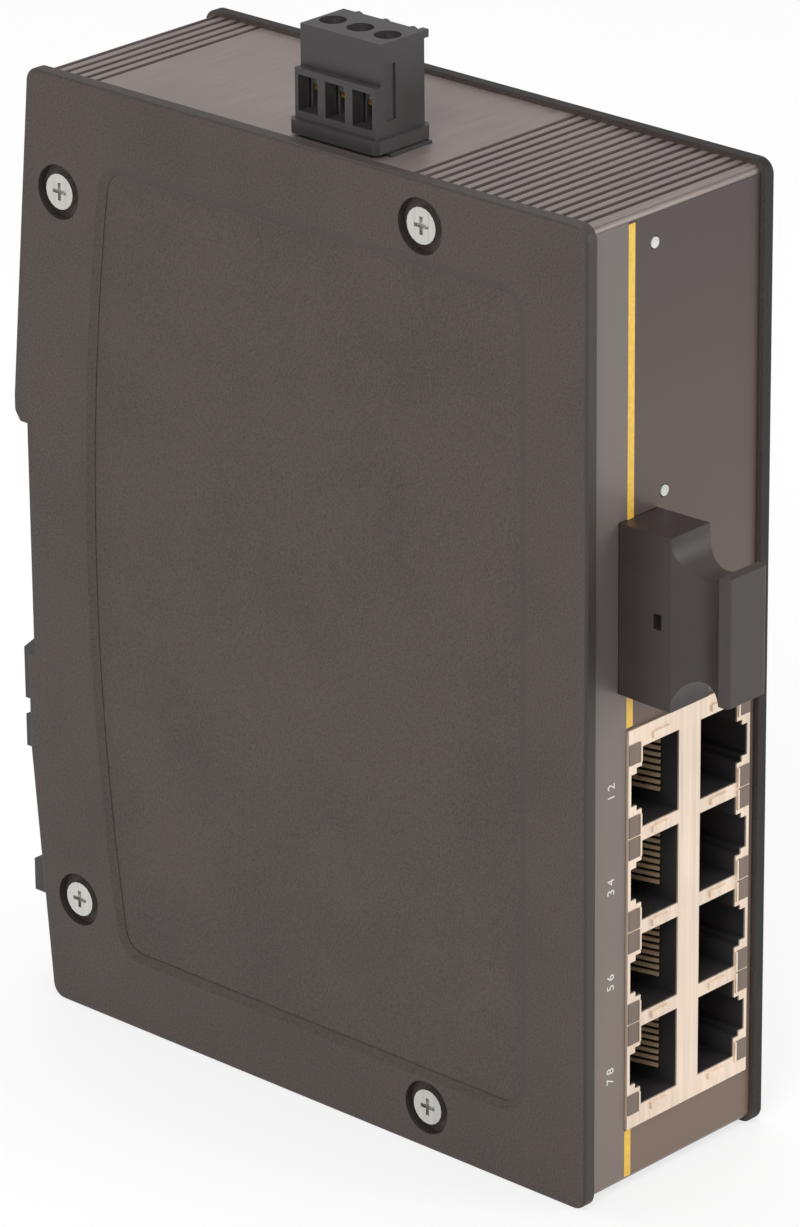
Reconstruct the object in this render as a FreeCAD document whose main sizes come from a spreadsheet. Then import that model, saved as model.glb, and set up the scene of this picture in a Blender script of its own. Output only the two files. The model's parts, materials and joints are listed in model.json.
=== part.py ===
import FreeCAD, Part
import os
import Sketcher

# DIN rail ethernet switch. Millimetres, +Z up, the front with its sockets towards -Y.
# The origin is the middle of the rail seat, on the plane where the rail's flanges touch.

SIZES = {
    # Whole housing
    "width": 38.0,
    "height": 143.0,
    "front_depth": 106.0,
    "corner_setback": 2.2,
    "hook_reach": 2.4,
    "shoulder_reach": 1.2,
    "hook_level": 21.5,
    "hook_foot": 19.8,
    "hook_step": 1.3,
    "shoulder_level": 32.5,
    "cover_relief": 0.3,
    # Side covers
    "cover_wall": 2.0,
    "cover_lip": 0.8,
    "cover_corner": 2.2,
    "cover_edge": 0.5,
    "panel_margin": 12.1,
    "panel_front": 12.0,
    "panel_rear_setback": 17.6,
    "panel_bulge": 4.6,
    "panel_sink": 0.6,
    "panel_slope": 1.3,
    "panel_slope_sink": 0.5,
    "panel_corner": 3.4,
    "rear_screw_setback": 8.0,
    "rear_screw_inset": 17.2,
    "front_screw_depth": 29.4,
    "front_screw_inset": 6.4,
    "cup_radius": 4.0,
    "cup_sink": 1.4,
    # Machine screws
    "screw_radius": 1.5,
    "screw_play": 0.2,
    "screw_head_radius": 2.6,
    "screw_head": 1.2,
    "screw_length": 8.0,
    "drive_width": 0.6,
    "drive_span": 2.6,
    "drive_sink": 0.7,
    "pilot_play": 0.05,
    # DIN rail and its clip
    "rail_height": 35.0,
    "rail_play": 0.4,
    "rail_flange": 1.0,
    "flange_play": 0.3,
    "clip_half_width": 15.0,
    "clip_thickness": 3.2,
    "clip_top": 27.0,
    "clip_bottom": 48.0,
    "hook_overlap": 1.4,
    "hook_wall": 1.6,
    "latch_overlap": 1.4,
    "latch_back": 6.0,
    "latch_nose_top": 19.5,
    "latch_nose_bottom": 27.5,
    "latch_travel": 2.2,
    "latch_play": 0.4,
    "stem_half_width": 8.0,
    "stem_thickness": 3.0,
    "keeper_height": 5.0,
    "keeper_wall": 2.2,
    "tab_top": 53.0,
    "tab_bottom": 58.0,
    "tab_back": 5.2,
    "tab_slot": 1.4,
    "window_half_width": 2.4,
    "window_top": 36.5,
    "window_bottom": 47.0,
    "peg_height": 2.0,
    "spring_radius": 1.15,
    "spring_wire": 0.25,
    "spring_turns": 5.0,
    # Extruded frame
    "frame_wall": 2.0,
    "frame_corner": 1.0,
    "channel_radius": 3.0,
    "foil_thickness": 0.25,
    "foil_play": 0.15,
    "groove_pitch": 2.0,
    "groove_width": 0.9,
    "groove_sink": 0.5,
    "front_groove_start": 3.0,
    "front_grooves": 16,
    "rear_groove_band": 9.8,
    "rear_grooves": 5,
    # Circuit board
    "board_gap": 2.6,
    "board_thickness": 1.6,
    "board_front": 3.6,
    "board_rear_gap": 7.4,
    "board_inset": 4.0,
    "notch_half_width": 4.0,
    "notch_sink": 6.2,
    "post_front": 36.5,
    "post_rear_inset": 6.4,
    "post_low": 12.0,
    "post_top_inset": 18.0,
    # Socket block
    "port_pitch": 13.97,
    "port_first": 18.1,
    "port_wide": 11.8,
    "port_tall": 7.6,
    "port_deep": 12.5,
    "latch_step_wide": 6.2,
    "latch_step": 1.15,
    "latch_slot_wide": 4.6,
    "latch_slot": 1.1,
    "left_land": 7.25,
    "right_land": 1.35,
    "block_side": 0.55,
    "block_margin": 2.0,
    "block_depth": 25.4,
    "shield_wall": 0.25,
    "shield_trim": 0.06,
    "shield_stand": 0.4,
    "contact_pitch": 1.02,
    "contact_wide": 0.55,
    "contact_thick": 0.3,
    "contact_start": 2.6,
    "contact_length": 6.5,
    "contact_lean": 14.0,
    "contact_gap": 0.3,
    "fit_play": 0.1,
    # Fibre port and its dust cap
    "fibre_middle": 11.4,
    "fibre_level": 87.3,
    "fibre_pitch": 12.7,
    "fibre_body_wide": 25.2,
    "fibre_body_tall": 10.1,
    "fibre_body_deep": 38.0,
    "fibre_socket_wide": 9.1,
    "fibre_socket_tall": 7.1,
    "fibre_socket_deep": 14.0,
    "ferrule_radius": 1.25,
    "ferrule_length": 9.0,
    "cap_thick": 7.9,
    "cap_base_half": 12.5,
    "cap_base_flare": 0.2,
    "cap_base_reach": 8.4,
    "cap_reach": 18.4,
    "cap_lobe_half": 9.2,
    "cap_lobe": 1.7,
    "cap_scoop_place": 4.3,
    "cap_waist_half": 7.3,
    "cap_pinch": 1.6,
    "cap_rounding": 0.7,
    "cap_hole": 1.4,
    "cap_hole_place": 6.05,
    "cap_plug_reach": 10.0,
    # Power plug and header
    "pole_pitch": 5.0,
    "plug_middle": 9.8,
    "plug_depth": 49.1,
    "plug_left": 3.9,
    "plug_right": 4.6,
    "plug_end": 2.4,
    "plug_rise": 14.7,
    "plug_height": 15.0,
    "plug_step": 5.9,
    "plug_ledge": 1.2,
    "plug_flange": 1.9,
    "plug_flange_out": 0.8,
    "plug_rim_corner": 0.8,
    "front_slot_across": 1.0,
    "front_slot_wide": 1.8,
    "front_slot_sink": 0.3,
    "front_slot_top": 3.1,
    "front_slot_bottom": 11.0,
    "lug_radius": 1.1,
    "lug_out": 0.6,
    "entry_wide": 3.6,
    "entry_top": 6.8,
    "entry_bottom": 11.9,
    "nose_half": 3.2,
    "nose_length": 6.6,
    "bore_radius": 1.8,
    "terminal_head_radius": 1.65,
    "terminal_head_top": 1.2,
    "terminal_head": 1.8,
    "terminal_shank_radius": 1.25,
    "terminal_neck": 1.2,
    "terminal_play": 0.25,
    "cage_half": 2.7,
    "cage_half_wide": 1.7,
    "cage_height": 5.4,
    "cage_plate": 1.2,
    "cage_floor": 0.8,
    "cage_side": 0.4,
    "cage_drop": 7.4,
    "cage_travel": 2.25,
    "bar_thick": 0.7,
    "bar_wide": 2.2,
    "header_half": 4.6,
    "header_wall": 1.1,
    "header_stand": 0.4,
    "header_height": 12.6,
    "header_floor": 2.4,
    "pin_width": 1.0,
    "pin_rise": 6.5,
    # Electronics on the board
    "switch_chip_depth": 58.0,
    "switch_chip_level": 46.0,
    "switch_chip_wide": 16.0,
    "switch_chip_tall": 16.0,
    "switch_chip_thick": 1.6,
    "transformer_depth": 38.0,
    "transformer_level": 30.0,
    "transformer_wide": 11.0,
    "transformer_tall": 28.0,
    "transformer_thick": 6.0,
    "memory_chip_depth": 74.0,
    "memory_chip_level": 30.0,
    "memory_chip_wide": 5.0,
    "memory_chip_tall": 6.0,
    "memory_chip_thick": 1.5,
    "clock_crystal_depth": 74.0,
    "clock_crystal_level": 46.0,
    "clock_crystal_wide": 3.2,
    "clock_crystal_tall": 5.0,
    "clock_crystal_thick": 1.2,
    "power_inductor_depth": 60.0,
    "power_inductor_level": 92.0,
    "power_inductor_wide": 9.0,
    "power_inductor_tall": 9.0,
    "power_inductor_thick": 4.2,
    "regulator_chip_depth": 60.0,
    "regulator_chip_level": 78.0,
    "regulator_chip_wide": 5.0,
    "regulator_chip_tall": 6.0,
    "regulator_chip_thick": 1.5,
    "input_fuse_depth": 50.0,
    "input_fuse_level": 31.0,
    "input_fuse_wide": 3.2,
    "input_fuse_tall": 8.0,
    "input_fuse_thick": 2.2,
    "surge_diode_depth": 70.0,
    "surge_diode_level": 31.0,
    "surge_diode_wide": 4.4,
    "surge_diode_tall": 7.0,
    "surge_diode_thick": 2.4,
    "transformer_step": 30.0,
    "capacitor_radius": 4.0,
    "capacitor_length": 11.0,
    "capacitor_depth": 80.0,
    "capacitor_level": 86.0,
    "capacitor_step": 12.0,
    "pipe_radius": 0.8,
    "pipe_depth": 7.0,
    "power_led_drop": 5.8,
    "power_led_across": 14.4,
    "fibre_led_rise": 14.3,
    "fibre_led_across": 16.7,
}


class Length:
    """A size in the sheet, or a sum or product of such sizes: its expression and its value."""

    def __init__(self, text, value):
        self.text = text
        self.value = value

    @staticmethod
    def of(item):
        if isinstance(item, Length):
            return item
        return Length(f"({item})", float(item))

    def __add__(self, other):
        other = Length.of(other)
        return Length(f"({self.text} + {other.text})", self.value + other.value)

    def __sub__(self, other):
        other = Length.of(other)
        return Length(f"({self.text} - {other.text})", self.value - other.value)

    def __mul__(self, other):
        other = Length.of(other)
        return Length(f"({self.text} * {other.text})", self.value * other.value)

    def __truediv__(self, other):
        other = Length.of(other)
        return Length(f"({self.text} / {other.text})", self.value / other.value)

    def __radd__(self, other):
        return Length.of(other) + self

    def __rsub__(self, other):
        return Length.of(other) - self

    def __rmul__(self, other):
        return Length.of(other) * self

    def __neg__(self):
        return Length(f"(-1 * {self.text})", -self.value)


class Sheet:
    """The driving sizes by name, as lengths that read their own cell."""


doc = FreeCAD.newDocument("EthernetSwitch")
cells = doc.addObject("Spreadsheet::Sheet", "Sizes")
size = Sheet()
for row, (name, number) in enumerate(SIZES.items(), start=1):
    cells.set(f"A{row}", name)
    cells.set(f"B{row}", str(number))
    cells.setAlias(f"B{row}", name)
    setattr(size, name, Length(f"Sizes.{name}", float(number)))
doc.recompute()

NODES = []
TURNS = {
    "X": FreeCAD.Rotation(FreeCAD.Vector(0, 1, 0), 90),
    "Y": FreeCAD.Rotation(FreeCAD.Vector(1, 0, 0), -90),
    "Z": FreeCAD.Rotation(),
}


# ---------- Helpers: bound primitives, booleans and sketches ----------

def bind(item, prop, length):
    """Tie one property to its expression."""
    item.setExpression(prop, Length.of(length).text)


def place(item, corner):
    """Tie an object's position to three lengths."""
    for axis, length in zip("xyz", corner):
        bind(item, f"Placement.Base.{axis}", length)


def box(name, low, high):
    """A block between two opposite corners."""
    item = doc.addObject("Part::Box", name)
    for prop, start, end in zip(("Length", "Width", "Height"), low, high):
        bind(item, prop, Length.of(end) - start)
    place(item, low)
    return item


def rod(name, start, axis, radius, length):
    """A cylinder that runs from its start point along +X, +Y or +Z."""
    item = doc.addObject("Part::Cylinder", name)
    item.Placement = FreeCAD.Placement(FreeCAD.Vector(), TURNS[axis])
    bind(item, "Radius", radius)
    bind(item, "Height", length)
    place(item, start)
    return item


def prism(name, start, axis, radius, length, sides=12):
    """A many-sided bar for small round pieces and their bores, along +X, +Y or +Z."""
    item = doc.addObject("Part::Prism", name)
    item.Placement = FreeCAD.Placement(FreeCAD.Vector(), TURNS[axis])
    item.Polygon = sides
    bind(item, "Circumradius", radius)
    bind(item, "Height", length)
    place(item, start)
    return item


def join(name, pieces):
    """One solid out of pieces that meet, or a group of solids that don't."""
    item = doc.addObject("Part::MultiFuse", name)
    item.Shapes = pieces
    item.Refine = True
    return item


def group(name, pieces):
    """Separate solids kept side by side in one object."""
    item = doc.addObject("Part::Compound", name)
    item.Links = pieces
    return item


def cut(name, base, tools):
    """The base less all its tools."""
    item = doc.addObject("Part::Cut", name)
    item.Base = base
    item.Tool = tools[0] if len(tools) == 1 else join(f"{name}_tools", tools)
    item.Refine = True
    return item


def node(item, label):
    """Name a finished sub-part."""
    item.Label = label
    NODES.append(item)
    return item


def body(name):
    item = doc.addObject("PartDesign::Body", name)
    return item


def sketch(owner, name, plane, offset=0):
    """A sketch parallel to one of the body's own planes, at a distance along its normal."""
    flat = owner.newObject("Sketcher::SketchObject", name)
    planes = [item for item in owner.Origin.OriginFeatures if item.Role == plane]
    flat.AttachmentSupport = [(planes[0], "")]
    flat.MapMode = "FlatFace"
    bind(flat, "AttachmentOffset.Base.z", offset)
    return flat


def fix_point(flat, element, point, place_uv):
    """Tie a sketch point to two lengths, measured from the sketch's origin."""
    for kind, length in zip(("DistanceX", "DistanceY"), place_uv):
        length = Length.of(length)
        number = flat.addConstraint(Sketcher.Constraint(kind, -1, 1, element, point, length.value))
        bind(flat, f"Constraints[{number}]", length)


def vector(point_uv):
    return FreeCAD.Vector(Length.of(point_uv[0]).value, Length.of(point_uv[1]).value, 0)


def outline(flat, points, bends=None):
    """A closed outline through bound corners; bends gives a middle point to a side that is an arc."""
    bends = bends or {}
    first = flat.GeometryCount
    count = len(points)
    ends = []
    for side in range(count):
        start = vector(points[side])
        end = vector(points[(side + 1) % count])
        order = (1, 2)
        if side in bends:
            middle = vector(bends[side])
            if (end - start).cross(middle - start).z > 0:
                order = (2, 1)
                start, end = end, start
            flat.addGeometry(Part.Arc(start, middle, end), False)
        else:
            flat.addGeometry(Part.LineSegment(start, end), False)
        ends.append(order)
    for side in range(count):
        following = (side + 1) % count
        flat.addConstraint(Sketcher.Constraint(
            "Coincident", first + side, ends[side][1], first + following, ends[following][0]))
    for side in range(count):
        fix_point(flat, first + side, ends[side][0], points[side])
    for side, point in bends.items():
        middle = flat.addGeometry(Part.Point(vector(point)), True)
        fix_point(flat, middle, 1, point)
        flat.addConstraint(Sketcher.Constraint("PointOnObject", middle, 1, first + side))


def rectangle(flat, low, high):
    outline(flat, [low, (high[0], low[1]), high, (low[0], high[1])])


def feature(owner, kind, name, flat, length, backwards=False):
    """A Pad along the sketch's normal, or a Pocket against it; backwards turns it round."""
    before = owner.Shape.Volume if owner.Tip else 0.0
    item = owner.newObject(f"PartDesign::{kind}", name)
    item.Profile = flat
    item.Reversed = backwards
    bind(item, "Length", length)
    doc.recompute()
    change = item.Shape.Volume - before
    if (kind == "Pad") != (change > 0):
        raise RuntimeError(f"{name} changed the volume by {change:.3f}")
    return item


def pad(owner, name, flat, length, backwards=False):
    return feature(owner, "Pad", name, flat, length, backwards)


def pocket(owner, name, flat, length, backwards=False):
    return feature(owner, "Pocket", name, flat, length, backwards)


def edges_where(shape, test):
    """The names of the edges whose middle point passes a test."""
    names = []
    for number, edge in enumerate(shape.Edges, start=1):
        middle = edge.valueAt((edge.FirstParameter + edge.LastParameter) / 2)
        if test(edge, middle):
            names.append(f"Edge{number}")
    return names


def soften(owner, kind, name, test, amount):
    """Fillet or Chamfer the edges of the body's last feature that pass a test."""
    tip = owner.Tip
    item = owner.newObject(f"PartDesign::{kind}", name)
    item.Base = (tip, edges_where(tip.Shape, test))
    bind(item, "Radius" if kind == "Fillet" else "Size", amount)
    doc.recompute()
    return item


def near(a, b):
    return abs(a - Length.of(b).value) < 0.02


def along(edge, axis):
    """True for a straight edge along one axis."""
    if edge.Curve.TypeId != "Part::GeomLine":
        return False
    return abs(edge.Curve.Direction.dot(axis)) > 0.999


AXIS_X = FreeCAD.Vector(1, 0, 0)
AXIS_Y = FreeCAD.Vector(0, 1, 0)
AXIS_Z = FreeCAD.Vector(0, 0, 1)

# ---------- Places that several pieces share ----------

half_width = size.width / 2
half_height = size.height / 2
front = -size.front_depth


def across(distance):
    """X from the left cover's outer face."""
    return Length.of(distance) - half_width


def back(distance):
    """Y from the covers' front edges."""
    return Length.of(distance) - size.front_depth


def up(distance):
    """Z from the bottom of the covers."""
    return Length.of(distance) - half_height


inner_left = across(size.cover_wall)
inner_right = half_width - size.cover_wall
frame_top = half_height - size.cover_lip
frame_front = back(size.cover_lip + size.foil_thickness)
frame_back = -size.clip_thickness
board_left = inner_left + size.board_gap
board_face = board_left + size.board_thickness
board_rear = frame_back - size.frame_wall - size.board_rear_gap
rail_half = size.rail_height / 2
recess_half = rail_half + size.rail_play

SCREW_PLACES = [
    (-size.rear_screw_setback, up(size.rear_screw_inset)),
    (-size.rear_screw_setback, half_height - size.rear_screw_inset),
    (back(size.front_screw_depth), up(size.front_screw_inset)),
    (back(size.front_screw_depth), half_height - size.front_screw_inset),
]
POST_PLACES = [
    (post_y, post_z)
    for post_z in (up(size.post_low), half_height - size.post_top_inset)
    for post_y in (back(size.post_front), board_rear - size.post_rear_inset)
]


# ---------- Side covers ----------

def make_cover(label, side):
    """A moulded side cover: the plate with the housing's side outline, its shallow field and screw cups."""
    cover = body(f"{label}_plain")
    outer = half_width * side
    hook_back = size.hook_reach
    shoulder_back = size.shoulder_reach
    corner_back = -size.corner_setback
    relief = -size.cover_relief
    plate = sketch(cover, f"{label}_outline", "YZ_Plane", outer)
    outline(plate, [
        (front, -half_height),
        (front, half_height),
        (corner_back, half_height),
        (hook_back, size.hook_level),
        (hook_back, size.hook_foot),
        (hook_back - size.hook_step, recess_half),
        (relief, recess_half),
        (relief, -recess_half),
        (shoulder_back, -recess_half),
        (shoulder_back, -size.shoulder_level),
        (corner_back, -half_height),
    ])
    pad(cover, f"{label}_plate", plate, size.cover_wall, backwards=side > 0)

    def corner(edge, middle):
        tall = abs(abs(middle.z) - half_height.value) < 0.02
        return tall and along(edge, AXIS_X)

    soften(cover, "Fillet", f"{label}_corners", corner, size.cover_corner)

    def rim(edge, middle):
        inside = -recess_half.value - 0.1 < middle.z < size.hook_foot.value + 0.1
        behind = middle.y > relief.value - 0.1
        return near(middle.x, outer) and not (inside and behind)

    soften(cover, "Fillet", f"{label}_edge", rim, size.cover_edge)

    field = sketch(cover, f"{label}_field", "YZ_Plane", outer)
    low = up(size.panel_margin)
    high = half_height - size.panel_margin
    field_rear = -size.panel_rear_setback
    outline(field, [
        (back(size.panel_front), low),
        (back(size.panel_front), high),
        (field_rear, high),
        (field_rear, low),
    ], bends={2: (field_rear + size.panel_bulge, (low + high) / 2)})
    pocket(cover, f"{label}_sunk_field", field, size.panel_sink, backwards=side < 0)

    def field_corner(edge, middle):
        level = abs(abs(middle.z) - high.value) < 0.05
        outside = abs(middle.x - outer.value) < size.panel_sink.value
        return level and outside and along(edge, AXIS_X) and edge.Length < 1.5

    soften(cover, "Fillet", f"{label}_field_corners", field_corner, size.panel_corner)

    def field_rim(edge, middle):
        level = abs(middle.z) < high.value + 0.1
        reach = back(size.panel_front).value - 0.1 < middle.y < (field_rear + size.panel_bulge).value + 0.1
        return near(middle.x, outer) and level and reach

    slope = soften(cover, "Chamfer", f"{label}_field_slope", field_rim, size.panel_slope)
    slope.ChamferType = "Two distances"
    bind(slope, "Size2", size.panel_slope_sink)
    doc.recompute()

    wall_start = outer if side < 0 else outer - size.cover_wall
    cup_start = outer if side < 0 else outer - size.cup_sink
    holes = []
    for number, (y, z) in enumerate(SCREW_PLACES, start=1):
        holes.append(prism(f"{label}_cup_{number}", (cup_start, y, z), "X", size.cup_radius, size.cup_sink, 32))
        holes.append(prism(f"{label}_hole_{number}", (wall_start, y, z), "X",
                           size.screw_radius + size.screw_play, size.cover_wall))
    return node(cut(f"{label}_drilled", cover, holes), label)


def make_screw(name, seat, direction, side_places, crossed=True):
    """A pan-head screw along X: its seat, the way it points and its place in Y and Z."""
    y, z = side_places
    lower = seat if direction > 0 else seat - size.screw_length
    upper = seat - size.screw_head if direction > 0 else seat
    shank = prism(f"{name}_shank", (lower, y, z), "X", size.screw_radius, size.screw_length, 8)
    cap = prism(f"{name}_head", (upper, y, z), "X", size.screw_head_radius, size.screw_head, 20 if crossed else 12)
    whole = join(f"{name}_solid", [shank, cap])
    if not crossed:
        return whole
    face = upper if direction > 0 else upper + size.screw_head - size.drive_sink
    span = size.drive_span / 2
    thin = size.drive_width / 2
    slots = []
    for turn, (dy, dz) in enumerate([(span, thin), (thin, span)]):
        slots.append(box(
            f"{name}_slot_{turn}",
            (face, y - dy, z - dz),
            (face + size.drive_sink, y + dy, z + dz),
        ))
    return cut(name, whole, slots)


make_cover("left_cover", -1)
make_cover("right_cover", 1)
for label, direction in (("left_cover_screws", 1), ("right_cover_screws", -1)):
    seat = (half_width - size.cup_sink) * (-direction)
    screws = [
        make_screw(f"{label}_{number}", seat, direction, place_uv)
        for number, place_uv in enumerate(SCREW_PLACES, start=1)
    ]
    node(group(label, screws), label)

# ---------- Socket block, fibre port and plug places ----------

block_low = up(size.port_first - size.port_pitch / 2 - size.block_margin)
block_high = up(size.port_first + size.port_pitch * 3.5 + size.block_margin)
block_left = inner_left + size.left_land
block_right = inner_right - size.right_land
block_middle = (block_left + block_right) / 2
port_reach = size.port_tall + size.latch_step + size.latch_slot
bar_half = (block_right - block_left) / 2 - size.block_side - port_reach
block_front = back(size.shield_stand)
block_back = block_front + size.block_depth
PORT_LEVELS = [up(size.port_first + size.port_pitch * row) for row in range(4)]
fibre_x = across(size.fibre_middle)
fibre_z = up(size.fibre_level)
fibre_half = size.fibre_body_wide / 2
fibre_left = board_face
fibre_right = fibre_left + size.fibre_body_tall
snout_half = size.cap_thick / 2 - size.fit_play
snout_rise = size.cap_base_half - size.cap_base_flare - size.fit_play
power_led_z = half_height - size.power_led_drop
fibre_led_z = fibre_z + size.fibre_led_rise
plug_x = across(size.plug_middle)
plug_y = back(size.plug_depth)
plug_top = half_height + size.plug_rise
plug_base = plug_top - size.plug_height
pole_half = size.pole_pitch + size.plug_end
POLES = [plug_y + size.pole_pitch * step for step in (-1, 0, 1)]
header_top = frame_top + size.header_stand
header_left = board_face
header_right = plug_x + size.nose_half + size.terminal_play + size.header_wall
header_half = pole_half + size.terminal_play + size.header_wall
nose_left = header_left + size.header_wall + size.terminal_play


# ---------- Extruded frame and its foil ----------

def make_frame():
    """The extrusion that is the housing's top, bottom, front and back, with grooves and screw channels."""
    frame = body("plain_frame")
    length = inner_right - inner_left
    ring = sketch(frame, "frame_section", "YZ_Plane", inner_left)
    rectangle(ring, (frame_front, -frame_top), (frame_back, frame_top))
    wall = size.frame_wall
    rectangle(ring, (frame_front + wall, -frame_top + wall), (frame_back - wall, frame_top - wall))
    pad(frame, "frame_extrusion", ring, length)

    def outer_corner(edge, middle):
        level = abs(abs(middle.z) - frame_top.value) < 0.02
        return level and along(edge, AXIS_X) and (near(middle.y, frame_front) or near(middle.y, frame_back))

    soften(frame, "Fillet", "frame_corners", outer_corner, size.frame_corner)

    ties = sketch(frame, "channel_tie_outlines", "YZ_Plane", inner_left)
    thin = size.channel_radius / 2
    for y, z in SCREW_PLACES[:2]:
        rectangle(ties, (y, z - thin), (frame_back - wall / 2, z + thin))
    for y, z in SCREW_PLACES[2:]:
        outside = -frame_top + wall / 2 if z.value < 0 else frame_top - wall / 2
        low, high = (outside, z) if z.value < 0 else (z, outside)
        rectangle(ties, (y - thin, low), (y + thin, high))
    pad(frame, "channel_ties", ties, length)
    webs = sketch(frame, "post_rings", "YZ_Plane", board_face)
    for y, z in POST_PLACES:
        outside = -frame_top + wall / 2 if z.value < 0 else frame_top - wall / 2
        radius = size.channel_radius
        inside = z + radius if z.value < 0 else z - radius
        low, high = (outside, inside) if z.value < 0 else (inside, outside)
        rectangle(webs, (y - radius, low), (y + radius, high))
    pad(frame, "board_post_webs", webs, inner_right - board_face)

    for face, side in (("top", 1), ("bottom", -1)):
        for zone, start, count in (
            ("front", back(size.front_groove_start), size.front_grooves),
            ("rear", frame_back - size.rear_groove_band, size.rear_grooves),
        ):
            name = f"{face}_{zone}_groove"
            flat = sketch(frame, f"{name}_outline", "YZ_Plane", inner_left)
            surface = frame_top * side
            inside = surface - size.groove_sink * side
            low, high = (inside, surface) if side > 0 else (surface, inside)
            rectangle(flat, (start, low), (start + size.groove_width, high))
            one = pocket(frame, name, flat, length, backwards=True)
            rows = frame.newObject("PartDesign::LinearPattern", f"{name}s")
            rows.Originals = [one]
            rows.Direction = (flat, ["H_Axis"])
            rows.Mode = "Spacing"
            bind(rows, "Offset", size.groove_pitch)
            bind(rows, "Occurrences", count)
            frame.Tip = rows
            doc.recompute()

    front_cuts = sketch(frame, "front_openings", "XZ_Plane", -back(size.cover_lip))
    play = size.fit_play
    rectangle(front_cuts, (block_left - play, block_low - play), (block_right + play, block_high + play))
    rectangle(front_cuts, (fibre_x - snout_half - play, fibre_z - snout_rise - play),
              (fibre_x + snout_half + play, fibre_z + snout_rise + play))
    pocket(frame, "front_windows", front_cuts, wall + size.foil_thickness + size.fit_play)
    top_cut = sketch(frame, "top_opening", "XY_Plane", frame_top)
    rectangle(top_cut, (header_left - play, plug_y - header_half - play),
              (header_right + play, plug_y + header_half + play))
    pocket(frame, "top_window", top_cut, wall)
    drills = [
        prism(f"pilot_{number}", (inner_left, y, z), "X", size.screw_radius + size.pilot_play, length)
        for number, (y, z) in enumerate(SCREW_PLACES + POST_PLACES, start=1)
    ]
    for number, level in enumerate((rail_half / 2, -rail_half / 2), start=1):
        drills.append(prism(f"clip_pilot_{number}", (0, frame_back - wall, level), "Y",
                            size.screw_radius + size.pilot_play, wall))
    for number, (x, z) in enumerate(led_places(), start=1):
        drills.append(prism(f"led_hole_{number}", (x, frame_front, z), "Y", size.pipe_radius + play, wall, 16))
    channels = [
        prism(f"screw_channel_{number}", (inner_left, y, z), "X", size.channel_radius, length, 20)
        for number, (y, z) in enumerate(SCREW_PLACES, start=1)
    ]
    return node(cut("drilled_frame", join("frame_and_channels", [frame] + channels), drills), "housing_frame")


def led_places():
    """Where the two indicators show on the front, in X and Z."""
    return (
        (across(size.power_led_across), power_led_z),
        (across(size.fibre_led_across), fibre_led_z),
    )


def make_foil():
    """The printed foil stuck on the front, open round the sockets and the two indicators."""
    foil = body("plain_foil")
    edge = size.foil_play
    face = sketch(foil, "foil_outline", "XZ_Plane", -frame_front)
    rectangle(face, (inner_left + edge, -frame_top + size.frame_corner),
              (inner_right - edge, frame_top - size.frame_corner))
    rectangle(face, (block_left - edge, block_low - edge), (block_right + edge, block_high + edge))
    rectangle(face, (fibre_x - snout_half - edge, fibre_z - snout_rise - edge),
              (fibre_x + snout_half + edge, fibre_z + snout_rise + edge))
    pad(foil, "foil_sheet", face, size.foil_thickness)
    holes = [
        prism(f"foil_hole_{number}", (x, frame_front - size.foil_thickness, z), "Y",
              size.pipe_radius + edge, size.foil_thickness, 16)
        for number, (x, z) in enumerate(led_places(), start=1)
    ]
    return node(cut("punched_foil", foil, holes), "front_foil")


make_frame()
make_foil()


# ---------- Circuit board and what stands on it ----------

def make_board():
    """The circuit board, notched round the front screw channels and drilled at its posts."""
    board = body("plain_board")
    face = sketch(board, "board_outline", "YZ_Plane", board_left)
    low = up(size.board_inset)
    high = half_height - size.board_inset
    notch_near = back(size.front_screw_depth - size.notch_half_width)
    notch_far = back(size.front_screw_depth + size.notch_half_width)
    outline(face, [
        (back(size.board_front), low),
        (notch_near, low),
        (notch_near, low + size.notch_sink),
        (notch_far, low + size.notch_sink),
        (notch_far, low),
        (board_rear, low),
        (board_rear, high),
        (notch_far, high),
        (notch_far, high - size.notch_sink),
        (notch_near, high - size.notch_sink),
        (notch_near, high),
        (back(size.board_front), high),
    ])
    pad(board, "board_sheet", face, size.board_thickness)
    holes = [
        prism(f"board_hole_{number}", (board_left, y, z), "X", size.screw_radius + size.screw_play,
              size.board_thickness)
        for number, (y, z) in enumerate(POST_PLACES, start=1)
    ]
    return node(cut("drilled_board", board, holes), "main_board")


make_board()
node(group("board_screws", [
    make_screw(f"board_screw_{number}", board_left, 1, place_uv, crossed=False)
    for number, place_uv in enumerate(POST_PLACES, start=1)
]), "board_screws")


def port_opening(name, row, column, extra, start, end):
    """The stepped socket mouth of one port: its latch side faces the nearer cover."""
    level = PORT_LEVELS[row]
    inner = block_middle + (bar_half - extra) * column
    steps = (
        (size.port_tall + extra * 2, size.port_wide / 2 + extra),
        (size.port_tall + size.latch_step + extra, size.latch_step_wide / 2 + extra),
        (size.port_tall + size.latch_step + size.latch_slot + extra, size.latch_slot_wide / 2 + extra),
    )
    pieces = []
    for number, (reach, half) in enumerate(steps):
        far = inner + reach * column
        low_x, high_x = (far, inner) if column < 0 else (inner, far)
        pieces.append(box(f"{name}_{number}", (low_x, start, level - half), (high_x, end, level + half)))
    return join(name, pieces)


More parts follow.
